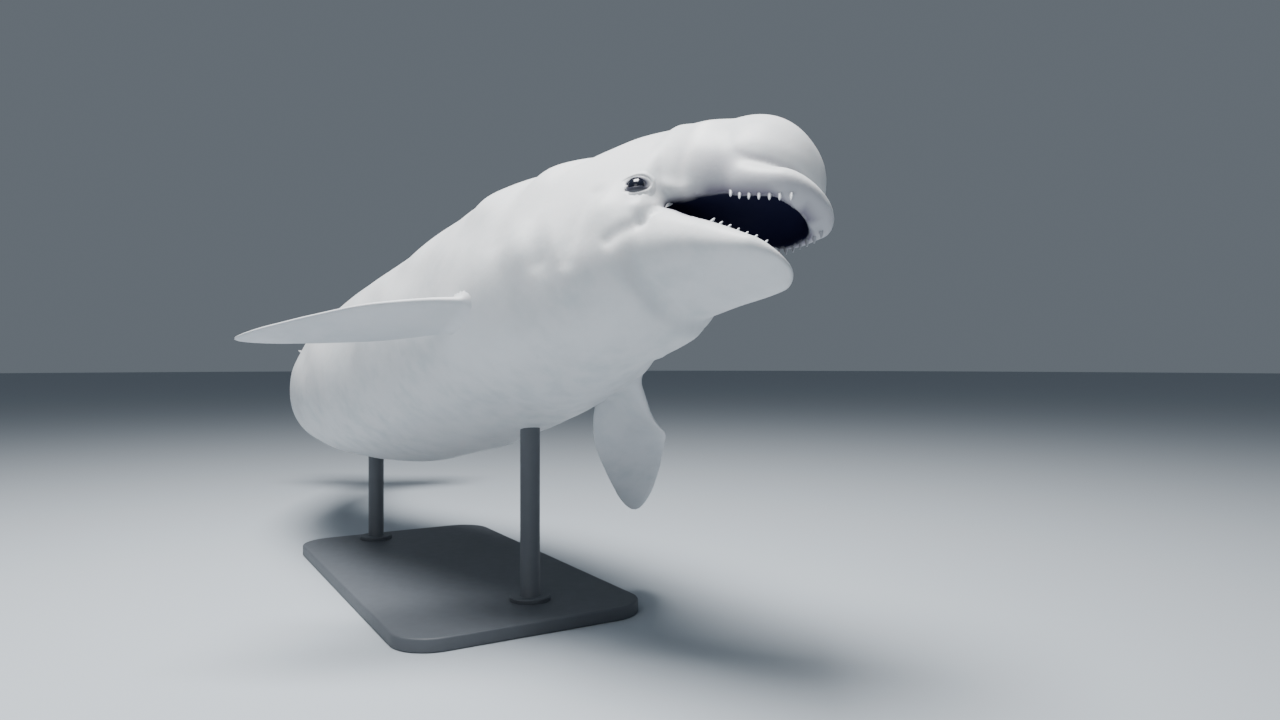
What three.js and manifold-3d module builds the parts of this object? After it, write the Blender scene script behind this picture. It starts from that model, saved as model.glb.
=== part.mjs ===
// A beluga whale swimming with its mouth open, as a life-size model on a display stand.
// Millimetres. The whale is first described in a straight rest frame: x runs forward and is 0 at
// the tip of the upper lip, y runs to the whale's left, z to its back, and a station is the
// distance behind the lip. The spine then bends the rest frame, the head staying where it is,
// and a group turns the whole whale up to the pose it swims in. The floor is z = 0.
import * as THREE from "three";
import { ParametricGeometry } from "three/addons/geometries/ParametricGeometry.js";
import { mergeVertices } from "three/addons/utils/BufferGeometryUtils.js";
import Module from "manifold-3d";

const wasm = await Module();
wasm.setup();

// Driving dimensions
const BODY_LENGTH = 4000;
const GIRTH_RADIUS = 355;
const HEAD_LENGTH = 560;
const GAP = 0.3;

// Pose: where the tip of the lip is, how the head is turned in degrees, and how far each stretch
// of the spine has bent by its rear end
const LIP_PLACE = [1600, 295, 1161];
const HEAD_TURN = 19.1;
const HEAD_PITCH = -9.0;
const HEAD_ROLL = -32.2;
const SPINE_BENDS = [
  { from: 420, to: 850, pitch: 4.2, yaw: -17.1, roll: 0 },
  { from: 420, to: 1200, pitch: 0, yaw: 0, roll: 6.6 },
  { from: 900, to: 2200, pitch: -0.9, yaw: 10.9, roll: 0 },
  { from: 2200, to: 3700, pitch: 32.6, yaw: -33.5, roll: 0 },
];

const radians = THREE.MathUtils.degToRad;
const smooth = THREE.MathUtils.smoothstep;
const lerp = THREE.MathUtils.lerp;
const SIDES = { left: 1, right: -1 };

// A curve through knots of [station, value] that never overshoots them.
function profile(knots) {
  const rise = knots.slice(1).map(([s, v], i) => (v - knots[i][1]) / (s - knots[i][0]));
  const slope = knots.map((_, i) => {
    if (i === 0) return rise[0];
    if (i === knots.length - 1) return rise[i - 1];
    const product = rise[i - 1] * rise[i];
    return product <= 0 ? 0 : (2 * product) / (rise[i - 1] + rise[i]);
  });
  return (station) => {
    let i = knots.findIndex(([s]) => s > station) - 1;
    if (i < 0) i = station < knots[0][0] ? 0 : knots.length - 2;
    const span = knots[i + 1][0] - knots[i][0];
    const t = THREE.MathUtils.clamp((station - knots[i][0]) / span, 0, 1);
    const u = 1 - t;
    return (
      knots[i][1] * (1 + 2 * t) * u * u +
      slope[i] * span * t * u * u +
      knots[i + 1][1] * (3 - 2 * t) * t * t -
      slope[i + 1] * span * t * t * u
    );
  };
}

// Columns: station, half width, back, belly or palate
function outline(rows) {
  return {
    halfWidth: profile(rows.map((r) => [r[0], r[1]])),
    top: profile(rows.map((r) => [r[0], r[2]])),
    bottom: profile(rows.map((r) => [r[0], r[3]])),
  };
}

const TRUNK = outline([
  [0, 96, -30, -96],
  [60, 106, -10, -102],
  [120, 124, 22, -102],
  [160, 133, 72, -101],
  [200, 142, 158, -84],
  [260, 154, 194, -54],
  [300, 163, 208, -44],
  [335, 176, 227, -64],
  [370, 192, 240, -210],
  [450, 213, 249, -278],
  [540, 234, 234, -316],
  [640, 256, 229, -336],
  [800, 304, 246, -354],
  [1000, 332, 270, -362],
  [1300, 348, 286, -374],
  [1600, GIRTH_RADIUS, 302, -386],
  [1900, 344, 300, -386],
  [2200, 312, 288, -356],
  [2500, 262, 270, -300],
  [2800, 200, 240, -238],
  [3100, 141, 196, -178],
  [3400, 88, 138, -122],
  [3650, 54, 92, -84],
  [3800, 42, 60, -58],
  [3905, 26, 26, -26],
]);
const SECTION_POWER = { trunk: 2.12, jaw: 2.5 };
const TRUNK_END = 3905;
const LIP_ROUNDING = 60;
const TAIL_ROUNDING = 20;

const JAW = outline([
  [18, 60, -74, -104],
  [60, 82, -72, -124],
  [120, 104, -66, -150],
  [200, 128, -57, -182],
  [300, 153, -46, -234],
  [400, 178, -66, -262],
  [520, 190, -104, -262],
]);
const JAW_TIP = 18;
const JAW_END = 520;
const JAW_ROUNDING = 52;
const JAW_HINGE = { station: 330, z: -45 };
const GAPE = 25;
const GAPE_FADE = { from: 300, to: 430 };

const MELON = {
  station: 215,
  z: 48,
  length: 172,
  halfWidth: 152,
  above: 149,
  below: 100,
  power: 2.35,
};

// 0 at the end of a form and 1 once the rounding is over, along a quarter ellipse
function rounding(distance, reach) {
  const left = 1 - THREE.MathUtils.clamp(distance / reach, 0, 1);
  return Math.sqrt(Math.max(0, 1 - left * left));
}

// The superellipse whose angle 0 is the back and whose quarter turn is the left side
function superellipse(angle, power) {
  const fold = (value) => Math.sign(value) * Math.abs(value) ** (2 / power);
  return { side: fold(Math.sin(angle)), up: fold(Math.cos(angle)) };
}

// The spine as frames every SPINE_STEP: where the rest frame's axis goes and how it is turned
const SPINE_STEP = 20;
const spine = [];
{
  const at = new THREE.Vector3();
  for (let s = 0; s <= BODY_LENGTH + 100; s += SPINE_STEP) {
    const sum = (key) =>
      SPINE_BENDS.reduce((total, b) => total + radians(b[key]) * smooth(s, b.from, b.to), 0);
    const turn = new THREE.Quaternion().setFromEuler(
      new THREE.Euler(sum("roll"), sum("pitch"), sum("yaw"), "ZYX"),
    );
    const back = new THREE.Vector3(-1, 0, 0).applyQuaternion(turn);
    if (spine.length) {
      const half = back.clone().add(spine.at(-1).back).multiplyScalar(SPINE_STEP / 2);
      at.add(half);
    }
    spine.push({ at: at.clone(), turn, back });
  }
}

function spineFrame(station) {
  const place = THREE.MathUtils.clamp(station / SPINE_STEP, 0, spine.length - 1.001);
  const i = Math.floor(place);
  return {
    at: spine[i].at.clone().lerp(spine[i + 1].at, place - i),
    turn: spine[i].turn.clone().slerp(spine[i + 1].turn, place - i),
  };
}

// Moves a point from the rest frame to the bent whale, in the head's frame
function bend(point) {
  const station = Math.max(0, -point.x);
  const frame = spineFrame(station);
  point.x += station;
  return point.applyQuaternion(frame.turn).add(frame.at);
}

// A closed parametric surface, or any closed geometry, as a solid for joining and cutting
function solidOf(geometry) {
  geometry.deleteAttribute("normal");
  geometry.deleteAttribute("uv");
  const merged = mergeVertices(geometry, 1e-3);
  const triVerts = [];
  const index = merged.index.array;
  for (let i = 0; i < index.length; i += 3) {
    const [a, b, c] = index.slice(i, i + 3);
    if (a !== b && b !== c && c !== a) triVerts.push(a, b, c);
  }
  const build = (order) =>
    new wasm.Manifold(
      new wasm.Mesh({
        numProp: 3,
        vertProperties: merged.attributes.position.array,
        triVerts: new Uint32Array(order),
      }),
    );
  const solid = build(triVerts);
  if (solid.volume() > 0) return solid;
  return build(triVerts.map((v, i) => (i % 3 === 1 ? triVerts[i + 1] : i % 3 === 2 ? triVerts[i - 1] : v)));
}

// A closed form: at(u, v, target) goes round with u and from pole to pole with v
function form(at, around, along, bent = true) {
  return solidOf(
    new ParametricGeometry(
      (u, v, target) => {
        at(u, v, target);
        if (bent) bend(target);
      },
      around,
      along,
    ),
  );
}

function largest(solid) {
  return solid.decompose().sort((a, b) => b.volume() - a.volume())[0];
}

function union(solids) {
  return solids.reduce((joined, next) => joined.add(next));
}

// A plane across the spine: positive side is the tail's
function behind(solid, station) {
  const frame = spineFrame(station);
  const normal = new THREE.Vector3(-1, 0, 0).applyQuaternion(frame.turn);
  return solid.trimByPlane(normal.toArray(), normal.dot(frame.at) + GAP / 2);
}

function ahead(solid, station) {
  const frame = spineFrame(station);
  const normal = new THREE.Vector3(1, 0, 0).applyQuaternion(frame.turn);
  return solid.trimByPlane(normal.toArray(), normal.dot(frame.at) + GAP / 2);
}

// Trunk: the upper jaw, cranium and the whole body to the tail
function trunkAt(station, angle, target) {
  const end = rounding(station, LIP_ROUNDING) * rounding(TRUNK_END - station, TAIL_ROUNDING);
  const { side, up } = superellipse(angle, SECTION_POWER.trunk);
  const top = TRUNK.top(station);
  const bottom = TRUNK.bottom(station);
  const half = (top - bottom) / 2;
  return target.set(
    -station,
    TRUNK.halfWidth(station) * side * end,
    (top + bottom) / 2 + half * up * end,
  );
}

// Stations crowd towards the lip, where the forms are smallest
function trunkStation(v) {
  return TRUNK_END * (0.12 * (1 - Math.cos(Math.PI * v)) / 2 + 0.88 * v ** 1.45);
}

function makeTrunk() {
  return form((u, v, p) => trunkAt(trunkStation(v), 2 * Math.PI * u, p), 40, 60);
}

function makeMelon() {
  return form(
    (u, v, p) => {
      const along = superellipse(Math.PI * v, MELON.power);
      const round = superellipse(2 * Math.PI * u, MELON.power);
      const height = round.up > 0 ? MELON.above : MELON.below;
      p.set(
        -MELON.station + MELON.length * along.up,
        MELON.halfWidth * along.side * round.side,
        MELON.z + height * along.side * round.up,
      );
    },
    28,
    16,
  );
}

// Turns a point of the shut mouth down about the jaw hinge
function open(point) {
  const share = 1 - smooth(-point.x, GAPE_FADE.from, GAPE_FADE.to);
  const x = point.x + JAW_HINGE.station;
  const z = point.z - JAW_HINGE.z;
  const turn = radians(GAPE) * share;
  point.x = x * Math.cos(turn) + z * Math.sin(turn) - JAW_HINGE.station;
  point.z = z * Math.cos(turn) - x * Math.sin(turn) + JAW_HINGE.z;
  return point;
}

function jawAt(station, angle, target) {
  const end = rounding(station - JAW_TIP, JAW_ROUNDING);
  const { side, up } = superellipse(angle, SECTION_POWER.jaw);
  const top = JAW.top(station);
  const bottom = JAW.bottom(station);
  target.set(
    -station,
    JAW.halfWidth(station) * side * end,
    (top + bottom) / 2 + ((top - bottom) / 2) * up * end,
  );
  return open(target);
}

function makeJaw() {
  return form(
    (u, v, p) => {
      const station = lerp(JAW_TIP, JAW_END, v ** 1.5);
      jawAt(station, 2 * Math.PI * u, p);
      if (v === 1) p.set(-JAW_END, 0, -170);
    },
    28,
    16,
  );
}

const RIM = { upper: -98, lower: -70 };

// Hollows of the mouth, which follow the lips at an inset
const LIP_INSET = { front: 42, rear: 38, from: 150, to: 270 };
const HOLLOW = { from: 50, to: 455, rise: { upper: 66, lower: 38 }, width: 118, squareness: 2 / 3 };

function makeHollow(outlineOf, rim, rise, opened) {
  return form(
    (u, v, p) => {
      const station = lerp(HOLLOW.from, HOLLOW.to, v);
      const end =
        rounding(station - HOLLOW.from, 40) * rounding(HOLLOW.to - station, 150);
      const angle = 2 * Math.PI * u;
      const thinning = THREE.MathUtils.smoothstep(station, LIP_INSET.from, LIP_INSET.to);
      const inset = lerp(LIP_INSET.front, LIP_INSET.rear, thinning);
      const width = Math.min(outlineOf.halfWidth(station) - inset, HOLLOW.width);
      const across = Math.sign(Math.sin(angle)) * Math.abs(Math.sin(angle)) ** HOLLOW.squareness;
      const up = Math.sign(Math.cos(angle)) * Math.abs(Math.cos(angle)) ** HOLLOW.squareness;
      p.set(-station, width * end * across, rim + rise * end * up);
      if (opened) open(p);
    },
    22,
    12,
  );
}

// A wedge of space between the jaws, back to the corners of the mouth
const CORNER = { station: 305, z: -46 };

// Teeth stand in a row on the rounded rim of each lip
const TOOTH = { root: 10, radius: 5, tip: 2.2, sides: 6, first: 42, spacing: 22 };
const UPPER_ROW = { teeth: 7, length: 18, inset: 34 };
const LOWER_ROW = { teeth: 7, length: 8, inset: 34 };

function makeTeeth(jawOutline, row, power, direction, opened, tip) {
  const teeth = [];
  for (const side of Object.values(SIDES)) {
    for (let i = 0; i < row.teeth; i++) {
      const station = tip + TOOTH.first + i * TOOTH.spacing;
      const reach = jawOutline.halfWidth(station) * rounding(station - tip, LIP_ROUNDING);
      const middle = (jawOutline.top(station) + jawOutline.bottom(station)) / 2;
      const half = (jawOutline.top(station) - jawOutline.bottom(station)) / 2;
      const gum = half * (1 - (1 - row.inset / reach) ** power) ** (1 / power);
      const tooth = new THREE.CylinderGeometry(
        TOOTH.tip,
        TOOTH.radius,
        row.length + TOOTH.root,
        TOOTH.sides,
      );
      tooth.rotateX((Math.PI / 2) * direction);
      tooth.translate(
        -station,
        side * (reach - row.inset),
        middle + direction * (gum + (row.length - TOOTH.root) / 2),
      );
      const at = tooth.attributes.position;
      const p = new THREE.Vector3();
      for (let k = 0; k < at.count; k++) {
        p.fromBufferAttribute(at, k);
        if (opened) open(p);
        at.setXYZ(k, ...bend(p).toArray());
      }
      teeth.push(solidOf(tooth));
    }
  }
  return union(teeth);
}

// Eyes and their lids
const EYE = { station: 379, angle: 0.207, radius: 25, sink: 15 };
const LID = { halfWidth: 29, halfHeight: 19, thickness: 6, tilt: 8 };

function eyePlace(side) {
  const angle = Math.PI / 2 + EYE.angle;
  const p = trunkAt(EYE.station, side * angle, new THREE.Vector3());
  const nearer = trunkAt(EYE.station - 20, side * angle, new THREE.Vector3());
  const above = trunkAt(EYE.station, side * (angle - 0.1), new THREE.Vector3());
  const along = nearer.sub(p).normalize();
  const upward = above.sub(p).normalize();
  const out = along.clone().cross(upward).multiplyScalar(-side).normalize();
  if (out.y * side < 0) out.negate();
  return { at: p, along, upward: out.clone().cross(along).multiplyScalar(side).normalize(), out };
}

function makeEyeball(side, extra) {
  const { at, out } = eyePlace(side);
  const ball = new THREE.SphereGeometry(EYE.radius + extra, 18, 12);
  ball.translate(...at.clone().addScaledVector(out, -EYE.sink).toArray());
  return solidOf(ball);
}

function makeLids(side) {
  const { at, along, out } = eyePlace(side);
  const ring = new THREE.TorusGeometry(1, 0.001, 8, 28);
  const basis = new THREE.Matrix4().makeBasis(along, out.clone().cross(along), out);
  const position = ring.attributes.position;
  const p = new THREE.Vector3();
  for (let k = 0; k < position.count; k++) {
    const major = Math.floor(k % 29) / 28;
    const minor = Math.floor(k / 29) / 8;
    const a = 2 * Math.PI * major;
    const b = 2 * Math.PI * minor;
    const width = LID.halfWidth + LID.thickness * Math.cos(b);
    const height = LID.halfHeight + LID.thickness * Math.cos(b);
    p.set(width * Math.cos(a), height * Math.sin(a), LID.thickness * 0.9 * Math.sin(b) - 1);
    p.applyAxisAngle(new THREE.Vector3(0, 0, 1), radians(-LID.tilt) * side);
    position.setXYZ(k, ...p.applyMatrix4(basis).add(at).toArray());
  }
  return solidOf(ring);
}

// Blowhole: a crescent cut into the top of the head
const BLOWHOLE = { station: 418, radius: 26, slit: 5, depth: 16 };

function makeBlowhole() {
  const crescent = new THREE.Shape();
  crescent.absarc(0, 0, BLOWHOLE.radius, radians(25), radians(155), false);
  crescent.absarc(0, -3, BLOWHOLE.radius - BLOWHOLE.slit, radians(150), radians(30), true);
  crescent.closePath();
  const slit = new THREE.ExtrudeGeometry(crescent, {
    depth: 60,
    bevelEnabled: false,
    curveSegments: 10,
  });
  slit.rotateZ(-Math.PI / 2);
  slit.translate(-BLOWHOLE.station, 0, TRUNK.top(BLOWHOLE.station) - BLOWHOLE.depth);
  return solidOf(slit);
}

// Flippers: broad paddles with a blunt tip. Each runs along its span from inside the chest, its
// chord turning from the root's direction to the blade's; directions are those of the chest
const FLIPPER = { station: 920, side: 285, z: -247, buried: 250, length: 525, chord: 222 };
const FLIPPER_THICKNESS = { root: 62, tip: 15 };
const FLIPPER_POSE = {
  right: { span: [-0.444, -0.835, -0.325], root: [-0.89, 0.44, 0.08], blade: [-0.89, 0.44, 0.08] },
  left: { span: [-0.68, 0.619, -0.393], root: [-0.73, -0.57, 0.36], blade: [-0.47, -0.78, -0.41] },
};
const FLIPPER_TWIST = { from: 0.3, to: 0.65 };
const flipperWidth = profile([
  [0, 0.3],
  [0.2, 0.72],
  [0.38, 0.96],
  [0.52, 1],
  [0.73, 0.78],
  [0.88, 0.52],
  [1, 0.34],
]);

function flipperFrame(side) {
  const pose = FLIPPER_POSE[side];
  const chest = spineFrame(FLIPPER.station);
  const seen = new THREE.Vector3(0, SIDES[side] * FLIPPER.side, FLIPPER.z);
  const span = new THREE.Vector3(...pose.span).normalize();
  const start = seen.addScaledVector(span, -FLIPPER.buried).applyQuaternion(chest.turn).add(chest.at);
  span.applyQuaternion(chest.turn);
  const chordAt = (t) => {
    const share = smooth(t, FLIPPER_TWIST.from, FLIPPER_TWIST.to);
    const chord = new THREE.Vector3(...pose.root).lerp(new THREE.Vector3(...pose.blade), share);
    chord.applyQuaternion(chest.turn);
    return chord.addScaledVector(span, -chord.dot(span)).normalize();
  };
  return { start, span, chordAt };
}

function makeFlipper(side) {
  const { start, span, chordAt } = flipperFrame(side);
  return form(
    (u, v, p) => {
      const t = v ** 0.9;
      const end = rounding(1 - t, 0.14);
      const chord = chordAt(t);
      const flat = span.clone().cross(chord).multiplyScalar(SIDES[side]);
      const width = (FLIPPER.chord / 2) * flipperWidth(t) * end;
      const thick = (lerp(FLIPPER_THICKNESS.root, FLIPPER_THICKNESS.tip, t ** 0.7) / 2) * end;
      const angle = 2 * Math.PI * u;
      const along = Math.cos(angle);
      const pole = v === 0 ? 0 : 1;
      p.copy(start)
        .addScaledVector(span, t * (FLIPPER.length + FLIPPER.buried))
        .addScaledVector(chord, pole * width * along)
        .addScaledVector(flat, pole * thick * Math.sin(angle) * (1 - 0.25 * along));
    },
    18,
    16,
    false,
  );
}

// Flukes: each lobe has a swept front edge and a rounded rear edge, and they meet at a notch
const FLUKE = { halfSpan: 470, front: 3640, notch: 3922, thickness: 46 };
const flukeLead = (v) => FLUKE.front + 300 * v ** 1.5;
const flukeTrail = (v) => FLUKE.notch + 88 * Math.sin(Math.PI * (0.06 + 0.78 * v));

function makeFluke(side) {
  return form(
    (u, v, p) => {
      const lead = flukeLead(v);
      const trail = flukeTrail(v);
      const end = rounding(1 - v, 0.12);
      const middle = (lead + trail) / 2;
      const half = ((trail - lead) / 2) * end;
      const thick = (FLUKE.thickness / 2) * (1 - 0.7 * v) * end;
      const angle = 2 * Math.PI * u;
      const along = Math.cos(angle);
      const pole = v === 0 ? 0 : 1;
      p.set(
        -(middle + pole * half * along),
        SIDES[side] * v * FLUKE.halfSpan,
        pole * thick * Math.sin(angle) * (1 - 0.3 * along) + 26 * v * v,
      );
    },
    18,
    14,
  );
}

// The low ridge along the back that a beluga has in place of a fin
const RIDGE = { from: 1880, to: 2580, height: 24, halfWidth: 34 };

function makeRidge() {
  return form(
    (u, v, p) => {
      const station = lerp(RIDGE.from, RIDGE.to, v);
      const swell = Math.sin(Math.PI * v) ** 0.7;
      const angle = 2 * Math.PI * u;
      p.set(
        -station,
        RIDGE.halfWidth * swell * Math.sin(angle),
        TRUNK.top(station) - 4 + RIDGE.height * swell * Math.cos(angle),
      );
    },
    12,
    22,
  );
}

// Tongue, lying in the lower jaw
const TONGUE = { from: 95, to: 350, halfWidth: 56, height: 24, z: -90 };

function makeTongue() {
  return form(
    (u, v, p) => {
      const station = lerp(TONGUE.from, TONGUE.to, v);
      const end = rounding(v, 0.35) * rounding(1 - v, 0.1);
      const angle = 2 * Math.PI * u;
      p.set(
        -station,
        TONGUE.halfWidth * end * Math.sin(angle),
        TONGUE.z + TONGUE.height * end * Math.cos(angle),
      );
      open(p);
    },
    16,
    12,
  );
}

// The block of space that parts the lower jaw from the head: below the line from the corner of
// the mouth along the middle of the gape, and ahead of the line down the throat
function makeJawBlock() {
  const side = new THREE.Shape([
    new THREE.Vector2(-CORNER.station - 55, CORNER.z - 12),
    new THREE.Vector2(200, CORNER.z - 12 - Math.tan(radians(GAPE / 2)) * 560),
    new THREE.Vector2(200, -900),
    new THREE.Vector2(-CORNER.station - 190, -900),
  ]);
  const block = new THREE.ExtrudeGeometry(side, { depth: 1200, bevelEnabled: false });
  block.rotateX(Math.PI / 2);
  block.translate(0, 600, 0);
  return solidOf(block);
}

// Body nodes, cut across the spine at these stations
const CUTS = { neck: HEAD_LENGTH, chest: 740, torso: 1500, tailStock: 2640 };

const trunk = makeTrunk();
const jaw = makeJaw();
const palate = makeHollow(TRUNK, RIM.upper, HOLLOW.rise.upper, false);
const mouthFloor = makeHollow(JAW, RIM.lower, HOLLOW.rise.lower, true);
const headSolid = ahead(union([trunk, jaw]), CUTS.neck)
  .subtract(palate)
  .subtract(mouthFloor)
  .subtract(makeBlowhole());
const jawBlock = makeJawBlock();
const upperTeeth = makeTeeth(TRUNK, UPPER_ROW, SECTION_POWER.trunk, -1, false, 0);
const lowerTeeth = makeTeeth(JAW, LOWER_ROW, SECTION_POWER.jaw, 1, true, JAW_TIP);
const eyes = Object.values(SIDES).map((side) => makeEyeball(side, GAP));
const lids = Object.values(SIDES).map(makeLids);
const head = largest(
  union([headSolid.subtract(jawBlock.translate(0, 0, GAP)), upperTeeth, ...lids]).subtract(union(eyes)),
);
const lowerJaw = largest(headSolid.intersect(jawBlock).add(lowerTeeth));

const neck = largest(ahead(behind(trunk, CUTS.neck), CUTS.chest));
const chest = largest(ahead(behind(trunk, CUTS.chest), CUTS.torso));
const torso = largest(ahead(behind(trunk, CUTS.torso), CUTS.tailStock));
const tailStock = largest(behind(trunk, CUTS.tailStock));

// What grows from the body is cut by it and then stands off by the gap, along its own direction
function seated(solid, carriers, direction) {
  const step = direction.clone().setLength(GAP * 1.6);
  return largest(solid.subtract(carriers).translate(...step.toArray()));
}

const upward = new THREE.Vector3(0, 0, 1);
// The melon hangs over the brow's sides, so the gap is cut all round it
const ROUND_THE_BROW = [[0, 0, GAP], [0, GAP, 0], [0, -GAP, 0]];
const melon = largest(
  ROUND_THE_BROW.reduce((left, step) => left.subtract(trunk.translate(...step)), makeMelon()),
);
const tongue = seated(makeTongue(), lowerJaw, upward);
const backward = spineFrame((RIDGE.from + RIDGE.to) / 2);
const ridge = seated(makeRidge(), torso, upward.clone().applyQuaternion(backward.turn));
const flippers = {};
const flukes = {};
const rump = spineFrame(FLUKE.front);
for (const side of Object.keys(SIDES)) {
  const { span } = flipperFrame(side);
  flippers[side] = seated(makeFlipper(side), trunk, span);
  const outward = new THREE.Vector3(-0.35, SIDES[side], 0).applyQuaternion(rump.turn);
  flukes[side] = seated(makeFluke(side), tailStock, outward);
}

// Materials
function paint(color, roughness) {
  return new THREE.MeshStandardMaterial({ color, roughness, metalness: 0 });
}
const SKIN = paint(0xdedfe0, 0.42);
const TONGUE_SKIN = paint(0x8f7480, 0.4);
const EYE_GLOSS = paint(0x10131c, 0.08);
const STAND_PAINT = paint(0x3c4046, 0.5);

function meshOf(name, solid, material) {
  const { numProp, vertProperties, triVerts } = solid.getMesh();
  const geometry = new THREE.BufferGeometry();
  const points = new Float32Array((vertProperties.length / numProp) * 3);
  for (let i = 0; i < points.length / 3; i++) {
    points.set(vertProperties.subarray(i * numProp, i * numProp + 3), i * 3);
  }
  geometry.setAttribute("position", new THREE.BufferAttribute(points, 3));
  geometry.setIndex(new THREE.BufferAttribute(triVerts, 1));
  geometry.computeVertexNormals();
  const mesh = new THREE.Mesh(geometry, material);
  mesh.name = name;
  return mesh;
}

const whale = new THREE.Group();
whale.position.set(...LIP_PLACE);
whale.rotation.set(radians(HEAD_ROLL), radians(HEAD_PITCH), radians(HEAD_TURN), "ZYX");
whale.add(
  meshOf("head", head, SKIN),
  meshOf("melon", melon, SKIN),
  meshOf("lower_jaw", lowerJaw, SKIN),
  meshOf("tongue", tongue, TONGUE_SKIN),
  meshOf("neck", neck, SKIN),
  meshOf("chest", chest, SKIN),
  meshOf("torso", torso, SKIN),
  meshOf("dorsal_ridge", ridge, SKIN),
  meshOf("tail_stock", tailStock, SKIN),
);
for (const [side, sign] of Object.entries(SIDES)) {
  whale.add(
    meshOf(`flipper_${side}`, flippers[side], SKIN),
    meshOf(`fluke_${side}`, flukes[side], SKIN),
    meshOf(`eye_${side}`, makeEyeball(sign, 0), EYE_GLOSS),
  );
}

// Display stand: a flat base under the middle of the whale, and two rods up to its belly, each
// standing in a flange. A rod is cut by the belly it holds and then lowered by the gap.
const BASE = { length: 1500, width: 760, height: 40, corner: 120, bevel: 6 };
const ROD = { radius: 30, top: 900, flangeRadius: 62, flangeHeight: 14, sides: 28 };
const ROD_STATIONS = { front: 1120, back: 2320 };

function makeBase() {
  const x = BASE.length / 2 - BASE.bevel;
  const y = BASE.width / 2 - BASE.bevel;
  const r = BASE.corner;
  const plan = new THREE.Shape();
  plan.absarc(x - r, y - r, r, 0, Math.PI / 2, false);
  plan.absarc(r - x, y - r, r, Math.PI / 2, Math.PI, false);
  plan.absarc(r - x, r - y, r, Math.PI, 1.5 * Math.PI, false);
  plan.absarc(x - r, r - y, r, 1.5 * Math.PI, 2 * Math.PI, false);
  const plate = new THREE.ExtrudeGeometry(plan, {
    depth: BASE.height - 2 * BASE.bevel,
    bevelThickness: BASE.bevel,
    bevelSize: BASE.bevel,
    bevelSegments: 2,
    curveSegments: 6,
  });
  plate.translate(0, 0, BASE.bevel);
  return solidOf(plate);
}

function makeRod(station, carrier) {
  whale.updateMatrixWorld();
  const foot = bend(new THREE.Vector3(-station, 0, 0)).applyMatrix4(whale.matrixWorld);
  const floor = BASE.height + 2 * GAP;
  const rod = new THREE.CylinderGeometry(ROD.radius, ROD.radius, ROD.top - floor, ROD.sides);
  rod.rotateX(Math.PI / 2);
  rod.translate(foot.x, foot.y, (ROD.top + floor) / 2);
  const flange = new THREE.CylinderGeometry(
    ROD.flangeRadius,
    ROD.flangeRadius,
    ROD.flangeHeight,
    ROD.sides,
  );
  flange.rotateX(Math.PI / 2);
  flange.translate(foot.x, foot.y, floor + ROD.flangeHeight / 2);
  const belly = carrier.transform(whale.matrixWorld.toArray());
  const parts = solidOf(rod).add(solidOf(flange)).subtract(belly).decompose();
  const lowest = parts.sort((a, b) => a.boundingBox().min[2] - b.boundingBox().min[2])[0];
  return lowest.translate(0, 0, -GAP);
}

const root = new THREE.Group();
root.add(
  whale,
  meshOf("stand_base", makeBase(), STAND_PAINT),
  meshOf("stand_rod_front", makeRod(ROD_STATIONS.front, chest), STAND_PAINT),
  meshOf("stand_rod_back", makeRod(ROD_STATIONS.back, torso), STAND_PAINT),
);
export default root;
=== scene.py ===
"""Looks of a beluga whale on its display stand.

The whale is shaped in the same straight rest frame as its solids, in millimetres: x is 0 at the tip
of the upper lip and runs forward, y runs to the whale's left and z to its back, and a station is the
distance behind the lip. The spine then bends it and a placement turns it up to its pose, in metres.
"""

import logging
from dataclasses import dataclass, field
from enum import Enum
from typing import Callable, Mapping, Sequence, Union

import bmesh
import bpy
import numpy as np
from mathutils import Matrix, Vector


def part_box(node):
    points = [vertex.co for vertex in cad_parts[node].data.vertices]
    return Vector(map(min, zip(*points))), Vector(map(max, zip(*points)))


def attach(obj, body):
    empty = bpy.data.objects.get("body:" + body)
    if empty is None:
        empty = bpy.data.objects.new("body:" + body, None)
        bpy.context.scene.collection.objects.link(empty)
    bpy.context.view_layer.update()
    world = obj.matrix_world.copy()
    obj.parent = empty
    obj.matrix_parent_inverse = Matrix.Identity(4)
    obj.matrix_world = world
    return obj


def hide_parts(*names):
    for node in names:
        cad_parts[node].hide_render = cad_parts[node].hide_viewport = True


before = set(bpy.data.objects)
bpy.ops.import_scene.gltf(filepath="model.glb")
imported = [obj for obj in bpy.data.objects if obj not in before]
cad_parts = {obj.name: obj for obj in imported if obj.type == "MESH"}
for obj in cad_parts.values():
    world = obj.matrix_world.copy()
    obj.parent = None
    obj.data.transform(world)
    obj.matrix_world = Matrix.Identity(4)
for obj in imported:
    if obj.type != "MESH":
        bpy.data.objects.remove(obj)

LOG = logging.getLogger("beluga")
MM = 0.001
FLESH_NODES = (
    "head", "melon", "lower_jaw", "neck", "chest", "torso", "dorsal_ridge", "tail_stock",
    "flipper_left", "flipper_right", "fluke_left", "fluke_right",
)

Array = np.ndarray
Colour = tuple[float, float, float]


class Side(Enum):
    """A side of the whale, with the sign of y there."""

    LEFT = 1
    RIGHT = -1


def smooth(value: Array, start: float, end: float) -> Array:
    """Rises from 0 at start to 1 at end along the cubic 3t^2 - 2t^3.

    Args:
        value: Any numbers.
        start: Where the rise begins.
        end: Where it ends.

    Returns:
        The share of the rise at each number.
    """
    t = np.clip((value - start) / (end - start), 0.0, 1.0)
    return t * t * (3.0 - 2.0 * t)


def rounding(distance: Array, reach: float) -> Array:
    """Rises from 0 at the end of a form to 1 at reach, along a quarter ellipse."""
    left = 1.0 - np.clip(distance / reach, 0.0, 1.0)
    return np.sqrt(np.maximum(1.0 - left * left, 0.0))


def bell(value: Array, centre: float, width: float) -> Array:
    """A bell curve of height 1: e to the minus square of the distance in widths."""
    return np.exp(-(((value - centre) / width) ** 2))


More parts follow.
